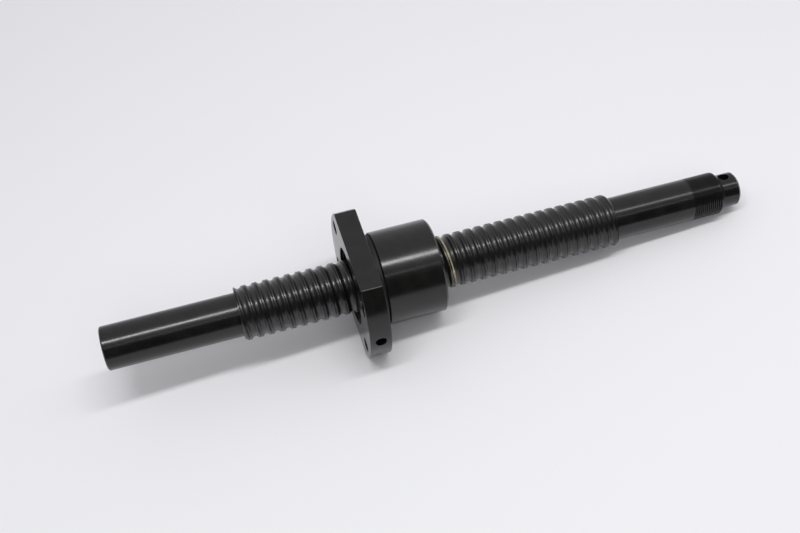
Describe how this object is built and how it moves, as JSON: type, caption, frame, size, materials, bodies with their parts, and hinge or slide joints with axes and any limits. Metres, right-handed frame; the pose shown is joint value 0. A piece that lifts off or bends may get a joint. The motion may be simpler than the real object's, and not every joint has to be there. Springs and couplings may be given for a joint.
{
  "type": "ball screw",
  "caption": "Black-coated ball screw with a flanged ball nut, return tube, wipers, plain journals, lock thread and cross-drilled tip; turns rotation into travel along the shaft.",
  "frame": {"origin": "centre of the flange's mounting face, on the shaft's axis", "axes": "+X along the shaft from the plain journal towards the lock thread and tip, +Z square to the flange's flats and away from the return tube"},
  "size_m": [0.3015, 0.067, 0.05],
  "materials": {
    "shaft_steel": "black coating on ground steel, satin to semi-gloss",
    "nut_steel": "black coating on ground steel, satin",
    "wiper_plastic": "moulded, matt",
    "ring_steel": "blackened spring steel",
    "tube_steel": "drawn, bright",
    "clamp_steel": "pressed sheet, satin",
    "screw_steel": "plated",
    "ball_steel": "polished bearing steel"
  },
  "bodies": {
    "screw": {"screw_shaft": "shaft_steel"},
    "travelling_rings": {"flange_retaining_ring": "ring_steel", "end_retaining_ring": "ring_steel"},
    "nut": {"nut_body": "nut_steel", "flange_wiper": "wiper_plastic", "end_wiper": "wiper_plastic", "return_tube_front_half": "tube_steel", "return_tube_rear_half": "tube_steel", "tube_clamp": "clamp_steel", "clamp_screw_near_flange": "screw_steel", "clamp_screw_near_end": "screw_steel", "loaded_balls_first_turn": "ball_steel", "loaded_balls_second_turn": "ball_steel", "loaded_balls_last_half_turn": "ball_steel", "return_balls": "ball_steel"}
  },
  "joints": [
    {"name": "nut_travel", "type": "slide", "parent": "screw", "child": "travelling_rings", "axis": [1, 0, 0], "range_m": [-0.05, 0.085]},
    {"name": "nut_turn", "type": "hinge", "parent": "travelling_rings", "child": "nut", "pos_m": [0, 0, 0], "axis": [1, 0, 0], "range_deg": [-3601, 6121]}
  ],
  "couplings": [
    {"joint": "nut_turn", "follows": "nut_travel", "rad_per_m": 1256.6}
  ]
}
